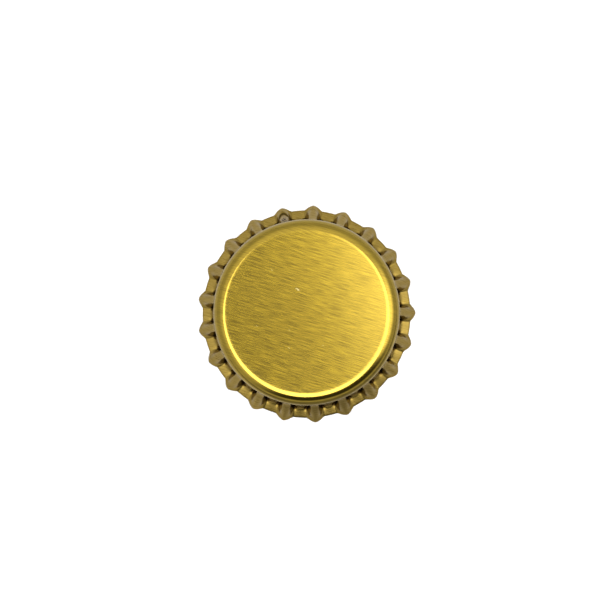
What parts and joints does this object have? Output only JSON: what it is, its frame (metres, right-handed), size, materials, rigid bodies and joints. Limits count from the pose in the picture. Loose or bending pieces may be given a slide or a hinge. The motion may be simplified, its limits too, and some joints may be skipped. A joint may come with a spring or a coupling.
{
  "type": "bottle cap",
  "caption": "Round pressed metal bottle cap in gold lacquer, not yet crimped, with a flat panel, a rounded shoulder, a flared fluted skirt and a soft sealing liner inside.",
  "frame": {"origin": "on the cap's axis, in the plane of the lowest points of the cut edge, on which the cap stands", "axes": "+Z along the axis, out of the flat panel; +Y through the crest of one flute; +X completes the right-handed frame"},
  "size_m": [0.032, 0.0319, 0.006],
  "materials": {
    "gold_lacquered_tinplate": "satin gold lacquer over rolled tinplate",
    "liner_compound": "smooth moulded compound"
  },
  "bodies": {
    "root": {"cap_shell": "gold_lacquered_tinplate", "sealing_liner": "liner_compound"}
  },
  "joints": []
}
